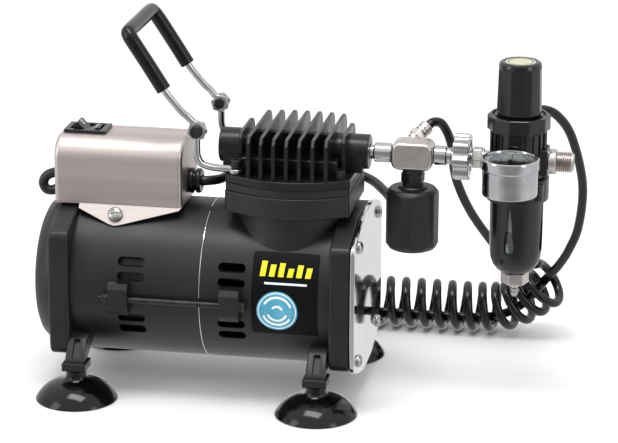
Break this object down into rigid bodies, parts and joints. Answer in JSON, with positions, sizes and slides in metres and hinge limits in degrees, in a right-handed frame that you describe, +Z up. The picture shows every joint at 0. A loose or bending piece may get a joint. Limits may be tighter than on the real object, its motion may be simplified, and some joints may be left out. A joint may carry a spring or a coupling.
{
  "type": "airbrush compressor",
  "caption": "Piston airbrush compressor on suction cups with a hinged carry handle, switch box, filter regulator with gauge, and coiled damper hose.",
  "frame": {"origin": "on the floor, at the middle of the box round the machine without its damper hose", "axes": "+X along the motor shaft from the fan end to the regulator, +Y away from the label side, +Z up"},
  "size_m": [0.3917, 0.2446, 0.2705],
  "materials": {
    "black_casting": "satin black paint on cast aluminium",
    "black_plastic": "moulded, half gloss",
    "black_rubber": "smooth black",
    "grip_vinyl": "dipped vinyl, half gloss",
    "satin_nickel": "satin nickel plate",
    "polished_plate": "polished",
    "chrome": "bright",
    "steel": "machined",
    "copper_winding": "enamelled copper wire",
    "aluminium": "as cast",
    "clear_plastic": "clear moulded polycarbonate",
    "filter_felt": "sintered filter"
  },
  "bodies": {
    "root": {"bearing_front": "steel", "bearing_rear": "steel", "cable_gland": "black_rubber", "clamp_bolt_back": "steel", "clamp_bolt_front": "steel", "cylinder_head": "black_casting", "cylinder_sleeve": "steel", "end_plate": "polished_plate", "fan_cover": "black_plastic", "filter_element": "filter_felt", "front_housing": "black_casting", "gauge_case": "chrome", "gauge_lens": "clear_plastic", "grommet": "black_rubber", "handle_bracket_back": "chrome", "handle_bracket_front": "chrome", "hose_coil": "black_rubber", "hose_regulator_run": "black_rubber", "hose_tee_run": "black_rubber", "inlet_nut": "chrome", "motor_lead": "black_rubber", "outlet_nipple": "chrome", "pressure_switch": "black_plastic", "pressure_tube": "black_rubber", "rear_housing": "black_casting", "regulator_body": "black_plastic", "regulator_elbow": "chrome", "ring_nut": "black_plastic", "rocker_bezel": "black_plastic", "silencer": "black_casting", "stator_core": "steel", "stator_winding": "copper_winding", "suction_cup_left_back": "black_rubber", "suction_cup_left_front": "black_rubber", "suction_cup_right_back": "black_rubber", "suction_cup_right_front": "black_rubber", "switch_base": "satin_nickel", "switch_cover": "satin_nickel", "tee_block": "satin_nickel", "tee_elbow": "chrome", "tee_nipple": "chrome", "union_nipple": "chrome", "valve_plate": "black_casting"},
    "rocker": {"rocker": "black_plastic"},
    "handle": {"carry_handle": "chrome", "handle_grip": "grip_vinyl"},
    "rotor": {"rotor_core": "steel", "motor_shaft": "steel", "cooling_fan": "black_plastic", "crank_disc": "steel"},
    "piston": {"piston_rod": "aluminium"},
    "adjuster": {"adjusting_screw": "steel"},
    "knob": {"regulator_knob": "black_plastic"},
    "needle": {"gauge_needle": "black_plastic"},
    "wheel": {"hand_wheel": "chrome"},
    "bowl": {"bowl_guard": "black_plastic", "filter_bowl": "clear_plastic", "drain_nut": "satin_nickel"},
    "drain": {"drain_pin": "chrome"}
  },
  "joints": [
    {"name": "rocker_tilt", "type": "hinge", "parent": "root", "child": "rocker", "pos_m": [-0.1577, 0, 0.1805], "axis": [0, -1, 0], "range_deg": [0, 24]},
    {"name": "handle_swing", "type": "hinge", "parent": "root", "child": "handle", "pos_m": [-0.068, 0, 0.1975], "axis": [0, 1, 0], "range_deg": [-45, 90]},
    {"name": "shaft_spin", "type": "hinge", "parent": "root", "child": "rotor", "pos_m": [-0.1, 0, 0.077], "axis": [1, 0, 0], "continuous": true},
    {"name": "piston_slide", "type": "slide", "parent": "root", "child": "piston", "axis": [0, 0, 1], "range_m": [0, 0.014]},
    {"name": "adjuster_turn", "type": "hinge", "parent": "root", "child": "adjuster", "pos_m": [0.1545, 0, 0.22], "axis": [0, 0, 1], "range_deg": [0, 1080]},
    {"name": "knob_pull", "type": "slide", "parent": "adjuster", "child": "knob", "axis": [0, 0, 1], "range_m": [0, 0.004]},
    {"name": "needle_turn", "type": "hinge", "parent": "root", "child": "needle", "pos_m": [0.1535, -0.0424, 0.1875], "axis": [0, 0, 1], "range_deg": [-270, 0]},
    {"name": "wheel_spin", "type": "hinge", "parent": "root", "child": "wheel", "pos_m": [0.1148, 0, 0.1775], "axis": [1, 0, 0], "continuous": true},
    {"name": "bowl_turn", "type": "hinge", "parent": "root", "child": "bowl", "pos_m": [0.1545, 0, 0.157], "axis": [0, 0, 1], "range_deg": [0, 40]},
    {"name": "drain_push", "type": "slide", "parent": "bowl", "child": "drain", "axis": [0, 0, 1], "range_m": [0, 0.003], "stiffness_N_per_m": 200, "springref_m": -0.001}
  ]
}
